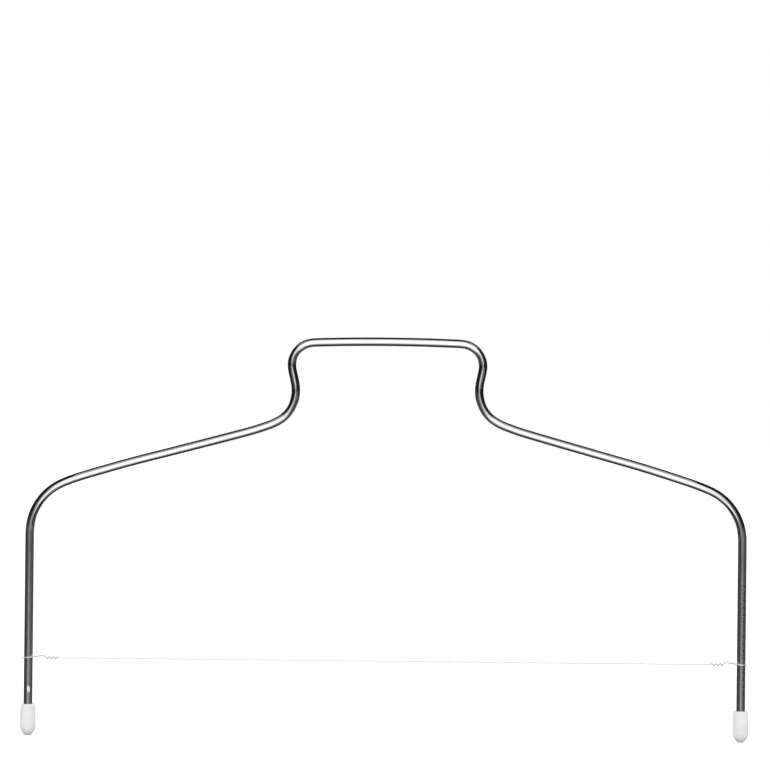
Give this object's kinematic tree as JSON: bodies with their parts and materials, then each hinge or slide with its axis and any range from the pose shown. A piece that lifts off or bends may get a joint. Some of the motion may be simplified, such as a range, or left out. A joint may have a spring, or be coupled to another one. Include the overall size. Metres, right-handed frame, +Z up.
{
  "type": "wire cake leveller",
  "caption": "Hand-held bow of bent chromed rod with a pinched handle, notched legs with plastic foot caps, and a cutting wire that slides up and down the legs.",
  "frame": {"origin": "on the table plane between the two feet, in the middle of the bow", "axes": "+X from the left foot to the right foot, +Y to the back through the rod, +Z up from the feet to the handle bar"},
  "size_m": [0.3334, 0.0072, 0.1836],
  "materials": {
    "chrome_rod": "bright chrome plate on steel rod",
    "steel_wire": "drawn stainless wire",
    "white_plastic": "satin moulded white plastic"
  },
  "bodies": {
    "frame": {"frame_rod": "chrome_rod", "left_cap": "white_plastic", "right_cap": "white_plastic"},
    "wire": {"cutting_wire": "steel_wire"}
  },
  "joints": [
    {"name": "wire_height", "type": "slide", "parent": "frame", "child": "wire", "axis": [0, 0, 1], "range_m": [-0.0132, 0.0363]}
  ]
}
